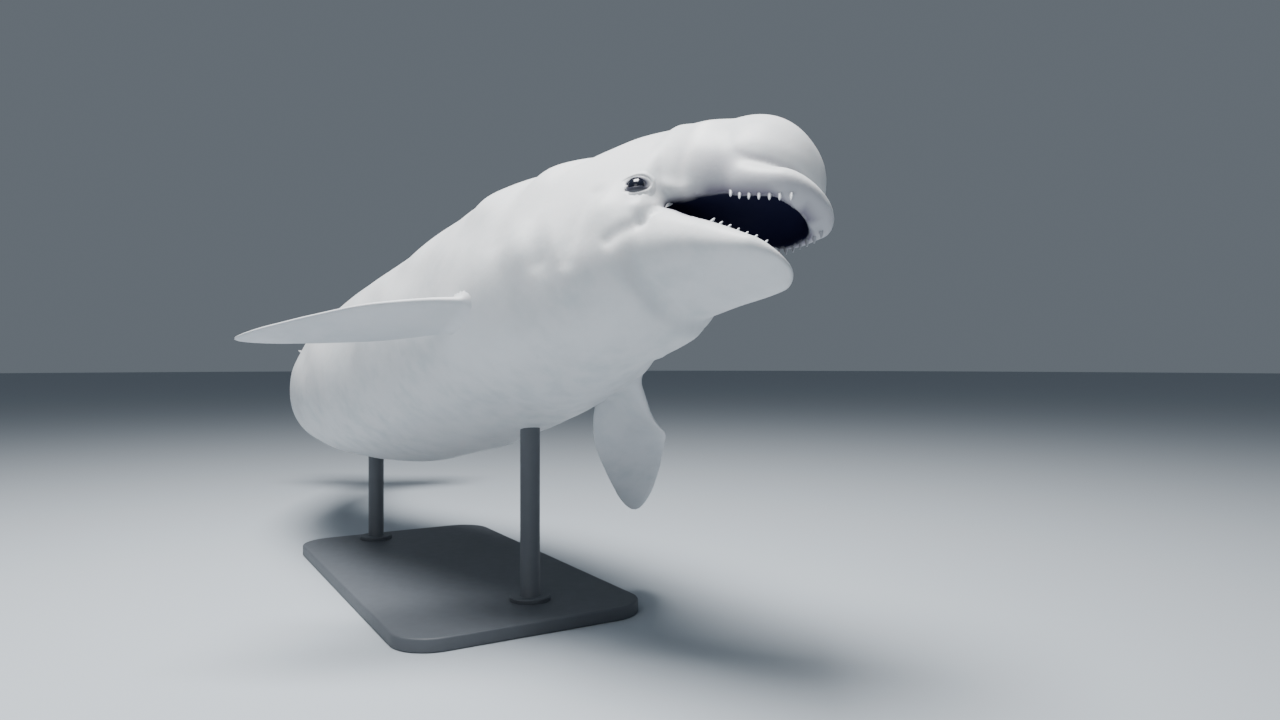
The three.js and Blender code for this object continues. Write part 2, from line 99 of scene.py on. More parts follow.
def smooth_min(a: Array, b: Array, reach: Union[float, Array]) -> Array:
    """The smaller of two fields, rounded off by a parabola where they differ by less than reach.

    Args:
        a: The first field.
        b: The second field.
        reach: How far the rounding reaches.

    Returns:
        The joined field.
    """
    share = np.clip(0.5 + 0.5 * (b - a) / reach, 0.0, 1.0)
    return b + (a - b) * share - reach * share * (1.0 - share)


def smooth_max(a: Array, b: Array, reach: Union[float, Array]) -> Array:
    """The larger of two fields, rounded off in the same way."""
    return -smooth_min(-a, -b, reach)


@dataclass(frozen=True)
class Profile:
    """A curve through knots of (station, value) that never overshoots them."""

    knots: tuple[tuple[float, float], ...]

    def __call__(self, station: Array) -> Array:
        """Cubic Hermite pieces whose slopes are the harmonic means of the neighbouring rises.

        Args:
            station: Stations to read the curve at.

        Returns:
            The curve's values, held level beyond both ends.
        """
        at, value = np.array(self.knots, float).T
        rise = np.diff(value) / np.diff(at)
        product = rise[:-1] * rise[1:]
        total = np.where(product > 0, rise[:-1] + rise[1:], 1.0)
        inner = np.where(product > 0, 2.0 * product / total, 0.0)
        slope = np.concatenate(([rise[0]], inner, [rise[-1]]))
        i = np.clip(np.searchsorted(at, station, side="right") - 1, 0, len(at) - 2)
        span = at[i + 1] - at[i]
        t = np.clip((station - at[i]) / span, 0.0, 1.0)
        u = 1.0 - t
        return (
            value[i] * (1 + 2 * t) * u * u
            + slope[i] * span * t * u * u
            + value[i + 1] * (3 - 2 * t) * t * t
            - slope[i + 1] * span * t * t * u
        )


@dataclass(frozen=True)
class Outline:
    """Half width, back and belly of a loft, each a curve along the stations."""

    half_width: Profile
    top: Profile
    bottom: Profile


def outline(rows: Sequence[tuple[float, float, float, float]]) -> Outline:
    """Makes an outline from rows of station, half width, back and belly."""
    return Outline(*(Profile(tuple((row[0], row[k]) for row in rows)) for k in (1, 2, 3)))


TRUNK = outline((
    (0, 96, -30, -96),
    (60, 106, -10, -102),
    (120, 124, 22, -102),
    (160, 133, 72, -101),
    (200, 142, 158, -84),
    (260, 154, 194, -54),
    (300, 163, 208, -44),
    (335, 176, 227, -64),
    (370, 192, 240, -210),
    (450, 213, 249, -278),
    (540, 234, 234, -316),
    (640, 256, 229, -336),
    (800, 304, 246, -354),
    (1000, 332, 270, -362),
    (1300, 348, 286, -374),
    (1600, 355, 302, -386),
    (1900, 344, 300, -386),
    (2200, 312, 288, -356),
    (2500, 262, 270, -300),
    (2800, 200, 240, -238),
    (3100, 141, 196, -178),
    (3400, 88, 138, -122),
    (3650, 54, 92, -84),
    (3800, 42, 60, -58),
    (3905, 26, 26, -26),
))
JAW = outline((
    (18, 60, -74, -104),
    (60, 82, -72, -124),
    (120, 104, -66, -150),
    (200, 128, -57, -182),
    (300, 153, -46, -234),
    (400, 178, -66, -262),
    (520, 190, -104, -262),
))


def loft_distance(points: Array, shape: Outline, end: Array, power: Union[float, Array]) -> Array:
    """Roughly how far points are outside a loft of superellipse sections.

    Each section is |y/w|^n + |z/h|^n = 1 about its middle. The section's own radius is set against
    1 and divided by its slope, which is the distance to first order.

    Args:
        points: Rest-frame points.
        shape: The loft's outline.
        end: How far the section has opened, from 0 at a rounded end to 1.
        power: The superellipse's power n.

    Returns:
        Distances, negative inside.
    """
    station = -points[..., 0]
    top, bottom = shape.top(station), shape.bottom(station)
    width = np.maximum(shape.half_width(station) * end, 0.5)
    height = np.maximum((top - bottom) / 2 * end, 0.5)
    y = np.abs(points[..., 1]) / width + 1e-9
    z = np.abs(points[..., 2] - (top + bottom) / 2) / height + 1e-9
    radius = (y**power + z**power) ** (1 / power)
    slope = radius ** (1 - power) * np.hypot(y ** (power - 1) / width, z ** (power - 1) / height)
    return (radius - 1) / slope


@dataclass(frozen=True)
class Spine:
    """Bends the rest frame: each bend is (from, to, pitch, yaw, roll), in degrees by its end."""

    bends: tuple[tuple[float, float, float, float, float], ...] = (
        (420, 850, 4.2, -17.1, 0),
        (420, 1200, 0, 0, 6.6),
        (900, 2200, -0.9, 10.9, 0),
        (2200, 3700, 32.6, -33.5, 0),
    )
    step: float = 20
    reach: float = 4100
    lip: tuple[float, float, float] = (1600, 295, 1161)
    head_turn: tuple[float, float, float] = (-32.2, -9.0, 19.1)

    def _frames(self) -> tuple[Array, Array]:
        """Centres and turns of the spine's frames, summed back from the head by even steps."""
        at = np.arange(0, self.reach + self.step, self.step)
        turns = np.radians(sum(
            smooth(at, start, end)[:, None] * np.array([roll, pitch, yaw], float)
            for start, end, pitch, yaw, roll in self.bends
        ))
        turn = rotation(turns)
        back = turn @ np.array([-1.0, 0, 0])
        centre = np.zeros((len(at), 3))
        centre[1:] = np.cumsum((back[1:] + back[:-1]) / 2 * self.step, axis=0)
        return centre, turn

    def place(self, points: Array) -> Array:
        """Bends rest-frame points with the spine and sets them in the room.

        Args:
            points: Rest-frame points in millimetres.

        Returns:
            Their places in metres.
        """
        centre, turn = self._frames()
        station = np.clip(-points[..., 0], 0, self.reach - 1)
        i = (station / self.step).astype(int)
        t = (station / self.step - i)[..., None]
        middle = centre[i] * (1 - t) + centre[i + 1] * t
        local = points + station[..., None] * np.array([1.0, 0, 0])
        frames = turn[i] * (1 - t[..., None]) + turn[i + 1] * t[..., None]
        bent = middle + np.einsum("...ij,...j->...i", frames, local)
        head = rotation(np.radians([self.head_turn]))[0]
        return (bent @ head.T + np.array(self.lip)) * MM


def rotation(angles: Array) -> Array:
    """Rotation matrices Rz Ry Rx from rows of angles about x, y and z, in radians."""
    (cx, cy, cz), (sx, sy, sz) = np.cos(angles).T, np.sin(angles).T
    rows = [
        [cz * cy, cz * sy * sx - sz * cx, cz * sy * cx + sz * sx],
        [sz * cy, sz * sy * sx + cz * cx, sz * sy * cx - cz * sx],
        [-sy, cy * sx, cy * cx],
    ]
    return np.moveaxis(np.array(rows), 2, 0)


@dataclass(frozen=True)
class Fold:
    """A soft ridge or groove on both flanks, along a line seen from the side."""

    line: tuple[tuple[float, float], ...]
    rise: float
    width: float

    def height(self, points: Array) -> Array:
        """The rise times a bell of the distance from the line, seen from the side.

        Args:
            points: Rest-frame points.

        Returns:
            How far the fold lifts the skin at each point.
        """
        spot = np.stack([-points[..., 0], points[..., 2]], -1)
        best = np.full(spot.shape[:-1], 1e9)
        for start, end in zip(self.line[:-1], self.line[1:]):
            a, b = np.array(start, float), np.array(end, float)
            t = np.clip((spot - a) @ (b - a) / ((b - a) @ (b - a)), 0, 1)
            best = np.minimum(best, np.linalg.norm(spot - a - t[..., None] * (b - a), axis=-1))
        flank = smooth(np.abs(points[..., 1]), 40, 110)
        return self.rise * bell(best, 0, self.width) * flank


@dataclass(frozen=True)
class Lump:
    """A soft swelling on both flanks, with a bell's section: (station, z) is its middle."""

    station: float
    z: float
    rise: float
    length: float
    height_mm: float

    def height(self, points: Array) -> Array:
        """The rise at each rest-frame point."""
        flank = smooth(np.abs(points[..., 1]), 20, 90)
        along = bell(-points[..., 0], self.station, self.length)
        return self.rise * along * bell(points[..., 2], self.z, self.height_mm) * flank


@dataclass(frozen=True)
class Body:
    """The whale's trunk, melon and jaws as fields that are negative inside."""

    trunk_end: float = 3905
    lip_rounding: float = 60
    tail_rounding: float = 20
    jaw_tip: float = 18
    jaw_end: float = 520
    jaw_rounding: float = 52
    hinge: tuple[float, float] = (330, -45)
    gape: float = 25
    gape_fade: tuple[float, float] = (300, 430)
    melon: tuple[float, float, float] = (-215, 0, 48)
    melon_radii: tuple[float, float, float] = (172, 152, 149)
    melon_below: float = 100
    melon_power: float = 2.35
    powers: tuple[float, float] = (2.12, 2.5)
    rims: tuple[float, float] = (-98, -70)
    lip_insets: tuple[float, float] = (42, 38)
    hollow: tuple[float, float] = (50, 455)
    hollow_rises: tuple[float, float] = (66, 38)
    hollow_width: float = 118
    eye_station: float = 379
    eye_angle: float = 0.207
    eye_radius: float = 25
    eye_sink: float = 15
    ridge: tuple[float, float] = (1880, 2580)
    ridge_height: float = 24
    ridge_width: float = 34
    blowhole: tuple[float, float] = (418, 26)

    def trunk(self, points: Array) -> Array:
        """The trunk, from the upper lip to the root of the tail.

        Args:
            points: Rest-frame points.

        Returns:
            Rough distances, negative inside.
        """
        station = -points[..., 0]
        end = rounding(station, self.lip_rounding)
        end = end * rounding(self.trunk_end - station, self.tail_rounding)
        found = loft_distance(points, TRUNK, end, self.powers[0])
        swell = np.sin(np.pi * np.clip((station - self.ridge[0]) / np.ptp(self.ridge), 0, 1)) ** 0.7
        across = points[..., 1] / (self.ridge_width * 1.2)
        back = smooth(points[..., 2], 0, 120)
        found = found - self.ridge_height * 0.85 * swell * np.exp(-across * across) * back
        return np.maximum(np.maximum(found, 1.0 - station), station - self.trunk_end)

    def open(self, points: Array, share_at: Array, way: int = 1) -> Array:
        """Turns points about the jaw's hinge by their share of the gape.

        Args:
            points: Rest-frame points.
            share_at: Points whose stations set the share.
            way: 1 opens the jaw and -1 shuts it.

        Returns:
            The turned points.
        """
        turn = np.radians(self.gape) * way * (1 - smooth(-share_at[..., 0], *self.gape_fade))
        x = points[..., 0] + self.hinge[0]
        z = points[..., 2] - self.hinge[1]
        cos, sin = np.cos(turn), np.sin(turn)
        return np.stack(
            [x * cos + z * sin - self.hinge[0], points[..., 1], z * cos - x * sin + self.hinge[1]],
            -1,
        )

    def shut(self, points: Array) -> Array:
        """Finds where points of the open jaw lie when it is shut, by repeated guesses."""
        guess = points
        for _ in range(4):
            guess = self.open(points, guess, -1)
        return guess

    def jaw(self, shut: Array) -> Array:
        """The lower jaw, read at points that have been shut."""
        station = -shut[..., 0]
        end = rounding(station - self.jaw_tip, self.jaw_rounding)
        found = loft_distance(shut, JAW, end, self.powers[1])
        found = np.maximum(found, self.jaw_tip + 1.0 - station)
        return np.maximum(found, station - self.jaw_end)

    def hollow_of(self, points: Array, shape: Outline, rim: float, depth: float) -> Array:
        """A hollow of the mouth: squared ellipses, y^3 + z^3 = 1, whose width follows the lip at an inset.

        Args:
            points: Rest-frame points, shut for the lower jaw.
            shape: The outline of the jaw that it lies in.
            rim: The height of that jaw's lip.
            depth: How far it is hollowed from there.

        Returns:
            Rough distances, negative in the hollow.
        """
        station = -points[..., 0]
        start, stop = self.hollow
        end = rounding(station - start, 40) * rounding(stop - station, 150)
        front, rear = self.lip_insets
        inset = front + (rear - front) * smooth(station, 150, 270)
        width = np.minimum(shape.half_width(station) - inset, self.hollow_width) * end
        width = np.maximum(width, 0.5)
        rise = np.maximum(depth * end, 0.5)
        y, z = np.abs(points[..., 1]) / width, np.abs(points[..., 2] - rim) / rise
        radius = (y**3 + z**3) ** (1 / 3) + 1e-9
        found = (radius - 1) / np.hypot((y / radius) ** 2 / width, (z / radius) ** 2 / rise)
        return np.maximum(np.maximum(found, start + 1.0 - station), station - stop)

    def mouth(self, points: Array) -> Array:
        """Both hollows of the mouth together."""
        upper = self.hollow_of(points, TRUNK, self.rims[0], self.hollow_rises[0])
        lower = self.hollow_of(self.shut(points), JAW, self.rims[1], self.hollow_rises[1])
        return smooth_min(upper, lower, 12.0)

    def flesh(self, points: Array) -> Array:
        """Trunk, melon and jaw joined, with the mouth hollowed out.

        The melon meets the lip in a crease and flows into the head behind it, so its rounding
        grows with the station, and so does that between the jaw and the cheek.

        Args:
            points: Rest-frame points.

        Returns:
            Rough distances, negative inside.
        """
        found = self.trunk(points)
        near = -points[..., 0] < 640
        head = points[near]
        station = -head[..., 0]
        *level, above = self.melon_radii
        off = head - np.array(self.melon)
        height = np.where(off[..., 2] > 0, above, self.melon_below)
        radii = np.stack([level[0] + 0 * height, level[1] + 0 * height, height], -1)
        q = off / radii
        power = self.melon_power
        q = np.abs(q) + 1e-9
        radius = (q**power).sum(-1) ** (1 / power)
        steep = np.linalg.norm(q ** (power - 1) / radii, axis=-1)
        melon = (radius - 1) / (radius ** (1 - power) * steep)
        joined = smooth_min(found[near], melon, 12 + 70 * smooth(station, 110, 290))
        jaw = self.jaw(self.shut(head))
        joined = smooth_min(joined, jaw, 10 + 60 * smooth(station, 300, 460))
        found[near] = smooth_max(joined, -self.mouth(head), 9.0)
        return found

    def gradient(self, points: Array, read: Callable[[Array], Array]) -> Array:
        """Central differences of a field over half a millimetre each way."""
        steps = np.eye(3) * 0.5
        return np.stack([read(points + s) - read(points - s) for s in steps], -1)

    def settle(self, points: Array, read: Callable[[Array], Array], rounds: int = 3) -> Array:
        """Moves points down a field's slope onto its surface.

        Args:
            points: Rest-frame points near the surface.
            read: The field.
            rounds: How many steps.

        Returns:
            The moved points.
        """
        for _ in range(rounds):
            slope = self.gradient(points, read)
            size = np.maximum((slope * slope).sum(-1), 0.05)
            move = np.clip(read(points) / size, -12, 12)
            points = points - slope * move[..., None]
        return points

    def outward(self, points: Array, read: Callable[[Array], Array]) -> Array:
        """Unit normals of a field at points."""
        slope = self.gradient(points, read)
        return slope / np.maximum(np.linalg.norm(slope, axis=-1, keepdims=True), 1e-9)

    def eye_place(self, side: Side) -> tuple[Array, Array, Array, Array]:
        """Where an eye is, with its forward, upward and outward directions."""
        station = np.array(self.eye_station)
        top, bottom = TRUNK.top(station), TRUNK.bottom(station)
        up = -abs(np.sin(self.eye_angle)) ** (2 / 2.17)
        out = np.cos(self.eye_angle) ** (2 / 2.17)
        at = np.array([
            -self.eye_station,
            side.value * TRUNK.half_width(station) * out,
            (top + bottom) / 2 + (top - bottom) / 2 * up,
        ])
        at = self.settle(at[None], self.trunk)[0]
        outward = self.outward(at[None], self.trunk)[0]
        along = np.array([1.0, 0, 0]) - outward[0] * outward
        along /= np.linalg.norm(along)
        upward = np.cross(outward, along)
        return at, along, upward * np.sign(upward[2]), outward


@dataclass
class Surface:
    """Points, faces and named weights of a piece of skin."""

    points: Array
    faces: Array
    weights: dict[str, Array] = field(default_factory=dict)


def grid_faces(rows: int, columns: int, wrap: bool = True) -> Array:
    """Quads of a grid of points stored row by row, closed round when wrap is set."""
    row, column = np.meshgrid(
        np.arange(rows - 1), np.arange(columns if wrap else columns - 1), indexing="ij"
    )
    right = (column + 1) % columns
    quads = np.stack([
        row * columns + column, row * columns + right,
        (row + 1) * columns + right, (row + 1) * columns + column,
    ], -1)
    return quads.reshape(-1, 4)


def grid_surface(points: Array, wrap: bool = True) -> Surface:
    """Makes a surface of a grid of points (rows, columns, 3)."""
    rows, columns = points.shape[:2]
    return Surface(points.reshape(-1, 3), grid_faces(rows, columns, wrap))


def surface_net(axes: tuple[Array, Array, Array], values: Array) -> Surface:
    """The zero surface of a field on a grid whose spacing may vary.

    Each cell that the surface crosses gets one point, the mean of the crossings on its edges, and
    each crossed edge gets the quad of the four cells round it.

    Args:
        axes: The grid's x, y and z.
        values: The field at the grid's points.

    Returns:
        The surface, its faces pointing to the positive side.
    """
    shape = tuple(n - 1 for n in values.shape)
    inside = values < 0
    cells, sums, quads = [], [], []
    for axis in range(3):
        low = tuple(slice(None, -1) if k == axis else slice(None) for k in range(3))
        high = tuple(slice(1, None) if k == axis else slice(None) for k in range(3))
        spot = np.stack(np.nonzero(inside[low] != inside[high]), -1)
        after = spot.copy()
        after[:, axis] += 1
        v0, v1 = values[tuple(spot.T)], values[tuple(after.T)]
        place = np.stack([axes[k][spot[:, k]] for k in range(3)], -1).astype(float)
        run = axes[axis][after[:, axis]] - axes[axis][spot[:, axis]]
        place[:, axis] += run * v0 / (v0 - v1)
        first, second = (axis + 1) % 3, (axis + 2) % 3
        ring = []
        for a, b in ((1, 1), (0, 1), (0, 0), (1, 0)):
            cell = spot.copy()
            cell[:, first] -= a
            cell[:, second] -= b
            ring.append(np.ravel_multi_index(tuple(cell.T), shape))
            cells.append(ring[-1])
            sums.append(place)
        quad = np.stack(ring, -1)
        leaving = inside[tuple(spot.T)]
        quads.append(np.where(leaving[:, None], quad, quad[:, ::-1]))
    ids, back = np.unique(np.concatenate(cells), return_inverse=True)
    every = np.concatenate(sums)
    count = np.bincount(back, minlength=len(ids))
    points = np.stack([np.bincount(back, every[:, k]) / count for k in range(3)], -1)
    return Surface(points, np.searchsorted(ids, np.concatenate(quads)))


def relax(points: Array, faces: Array, strength: float) -> Array:
    """Moves each point towards the mean of its neighbours by a share."""
    ends = np.concatenate([np.roll(faces, k, axis=1).reshape(-1) for k in (1, -1)])
    start = np.concatenate([faces.reshape(-1)] * 2)
    count = np.bincount(start, minlength=len(points))[:, None]
    total = np.stack([np.bincount(start, points[ends, k], len(points)) for k in range(3)], -1)
    return points + strength * (total / count - points)


def steps(*runs: tuple[float, float, float]) -> Array:
    """Grid lines made of runs (from, to, spacing), each beginning where the last ends."""
    lines = [np.linspace(a, b, max(2, int(round(abs(b - a) / gap)) + 1))[:-1] for a, b, gap in runs]
    return np.concatenate([*lines, [runs[-1][1]]])


@dataclass(frozen=True)
class Flipper:
    """A broad paddle with a blunt tip that grows from the chest with a rounded root."""

    side: Side
    station: float = 920
    out: float = 285
    z: float = -247
    buried: float = 250
    length: float = 525
    chord: float = 222
    thickness: tuple[float, float] = (62, 15)
    twist: tuple[float, float] = (0.3, 0.65)
    fillet: float = 26
    width: Profile = Profile(
        ((0, 0.3), (0.2, 0.72), (0.38, 0.96), (0.52, 1), (0.73, 0.78), (0.88, 0.52), (1, 0.34))
    )

    def _directions(self) -> tuple[Array, Array, Array]:
        """Unit span, and the chords at the root and the blade."""
        poses = {
            Side.RIGHT: ((-0.444, -0.835, -0.325), (-0.89, 0.44, 0.08), (-0.89, 0.44, 0.08)),
            Side.LEFT: ((-0.68, 0.619, -0.393), (-0.73, -0.57, 0.36), (-0.47, -0.78, -0.41)),
        }
        span, root, blade = (np.array(v) for v in poses[self.side])
        return span / np.linalg.norm(span), root, blade

    def surface(self, body: Body) -> Surface:
        """The blade: foil sections along the span, flared where they near the chest.

        A section's outline is an ellipse thinned towards its rear edge. Nearer the chest than the
        fillet's radius r, a point moves out by r - sqrt(r^2 - (r - d)^2), d being its distance.

        Args:
            body: The body that it grows from.

        Returns:
            The blade's surface in the rest frame.
        """
        span, root, blade = self._directions()
        rows, columns = 96, 56
        t = np.linspace(0, 1, rows)[:, None] ** 0.85
        angle = np.linspace(0, 2 * np.pi, columns, endpoint=False)[None, :]
        share = smooth(t, *self.twist)[..., None]
        chord = root + (blade - root) * share
        chord = chord - (chord @ span)[..., None] * span
        chord /= np.linalg.norm(chord, axis=-1, keepdims=True)
        flat = np.cross(span, chord) * self.side.value
        end = rounding(1 - t, 0.14)
        width = self.chord / 2 * self.width(t) * end
        thick = (self.thickness[0] + (self.thickness[1] - self.thickness[0]) * t**0.7) / 2 * end
        along = np.cos(angle)
        pole = np.where(t == 0, 0.0, 1.0)
        sideways = (width * along * pole)[..., None] * chord
        proud = (thick * np.sin(angle) * (1 - 0.25 * along) * pole)[..., None] * flat
        seen = np.array([-self.station, self.side.value * self.out, self.z])
        start = seen - span * self.buried
        base = start + (t * (self.length + self.buried))[..., None] * span
        points = base + sideways + proud
        normal = sideways / np.maximum(width, 1)[..., None] ** 2
        normal = normal + proud / np.maximum(thick, 1)[..., None] ** 2
        normal /= np.maximum(np.linalg.norm(normal, axis=-1, keepdims=True), 1e-9)
        spread = (1 - smooth(along, 0.2, 0.9))[..., None] * normal
        points = flare(points, spread, body, self.fillet)
        found = grid_surface(points)
        found.weights["limb"] = np.broadcast_to(0.35 + 0.65 * t, (rows, columns)).reshape(-1).copy()
        return found


def flare(points: Array, normal: Array, body: Body, radius: float) -> Array:
    """Widens a limb's root into a quarter round that ends tangent to the trunk.

    Args:
        points: The limb's points.
        normal: Unit vectors out of the limb.
        body: The body that carries it.
        radius: The quarter round's radius.

    Returns:
        The widened points, each at its old distance from the trunk.
    """
    depth = body.trunk(points)
    near = np.clip(depth, 0, radius)
    widen = radius - np.sqrt(radius**2 - (radius - near) ** 2)
    moved = points + normal * widen[..., None]
    goal = np.minimum(depth, radius)
    held = (depth < radius) & (depth > -60)
    for _ in range(3):
        slope = body.outward(moved, body.trunk)
        off = np.where(held, body.trunk(moved) - goal, 0.0)
        moved = moved - slope * np.clip(off, -30, 30)[..., None]
    return moved


@dataclass(frozen=True)
class Fluke:
    """One lobe of the tail: a swept front edge, a rounded rear edge and a notch at the middle."""

    side: Side
    half_span: float = 470
    front: float = 3640
    notch: float = 3922
    thickness: float = 46
    fillet: float = 22

    def surface(self, body: Body) -> Surface:
        """The lobe: foil sections along the span between its two edges.

        The front edge falls back as v^1.5 and the rear edge is a stretch of a sine.

        Args:
            body: The body that it grows from.

        Returns:
            The lobe's surface in the rest frame.
        """
        rows, columns = 72, 56
        v = np.linspace(0, 1, rows)[:, None]
        angle = np.linspace(0, 2 * np.pi, columns, endpoint=False)[None, :]
        lead = self.front + 300 * v**1.5
        trail = self.notch + 88 * np.sin(np.pi * (0.06 + 0.78 * v))
        end = rounding(1 - v, 0.12)
        half = (trail - lead) / 2 * end
        thick = self.thickness / 2 * (1 - 0.7 * v) * end
        along = np.cos(angle)
        pole = np.where(v == 0, 0.0, 1.0)
        x = -((lead + trail) / 2 + pole * half * along)
        z = pole * thick * np.sin(angle) * (1 - 0.3 * along) + 26 * v * v
        y = np.broadcast_to(self.side.value * v * self.half_span, x.shape)
        points = np.stack([x, y, z], -1)
        rise = (np.sin(angle) * pole * np.ones_like(v))[..., None] * np.array([0.0, 0, 1])
        points = flare(points, rise, body, self.fillet)
        found = grid_surface(points)
        found.weights["limb"] = np.broadcast_to(0.3 + 0.7 * v, x.shape).reshape(-1).copy()
        return found


@dataclass(frozen=True)
class EyeSurround:
    """The lids of one eye and the folds of skin round them."""

    side: Side
    opening: tuple[float, float] = (21.5, 11.0)
    reach: tuple[float, float] = (74, 60)
    lid: float = 3.4
    tilt: float = 8.0

    def surface(self, body: Body) -> Surface:
        """Rings from the lids' edge out to where they are lost in the skin.

        Near the opening the lid lies on the eyeball at its own thickness; further out it is the
        skin, lifted by a bag below the eye and parted by a groove above it.

        Args:
            body: The body that carries the eye.

        Returns:
            The rings in the rest frame.
        """
        at, along, upward, outward = body.eye_place(self.side)
        rows, columns = 34, 96
        q = np.linspace(0, 1, rows)[:, None] ** 1.4
        angle = np.linspace(0, 2 * np.pi, columns, endpoint=False)[None, :]
        wide = self.opening[0] + (self.reach[0] - self.opening[0]) * q
        tall = self.opening[1] + (self.reach[1] - self.opening[1]) * q
        a, b = wide * np.cos(angle), tall * np.sin(angle)
        turn = np.radians(self.tilt)
        x, y = a * np.cos(turn) - b * np.sin(turn), a * np.sin(turn) + b * np.cos(turn)
        flat = at + x[..., None] * along + y[..., None] * upward
        for _ in range(4):
            flat = flat - np.clip(body.trunk(flat), -25, 25)[..., None] * outward
        ball = np.sqrt(np.maximum((body.eye_radius + 0.6) ** 2 - x * x - y * y, 0)) - body.eye_sink
        roll = self.lid * rounding(q, 0.05) - 1.5
        below, above = smooth(-np.sin(angle), -0.2, 0.7), smooth(np.sin(angle), -0.2, 0.7)
        bag = 2.4 * bell(q, 0.3, 0.09) - 1.6 * bell(q, 0.19, 0.035)
        soft = 1.2 * bell(q, 0.14, 0.12) + below * bag
        soft = soft - above * 1.6 * bell(q, 0.24, 0.045) + above * 2.4 * bell(q, 0.36, 0.1)
        soft = soft * (1 - smooth(q, 0.7, 1.0)) - 1.2 * smooth(q, 0.75, 1.0)
        height = smooth_max(ball + roll, soft + 0 * x, 4.0)
        found = grid_surface(flat + height[..., None] * outward)
        if self.side is Side.LEFT:
            found.faces = found.faces[:, ::-1]
        # Painted shade round the eye's opening, reaching further below the eye.
        shade = np.maximum(bell(q, 0.0, 0.24), below * 0.95 * bell(q, 0.1, 0.2))
        found.weights["eye"] = np.broadcast_to(shade, x.shape).reshape(-1).copy()
        return found


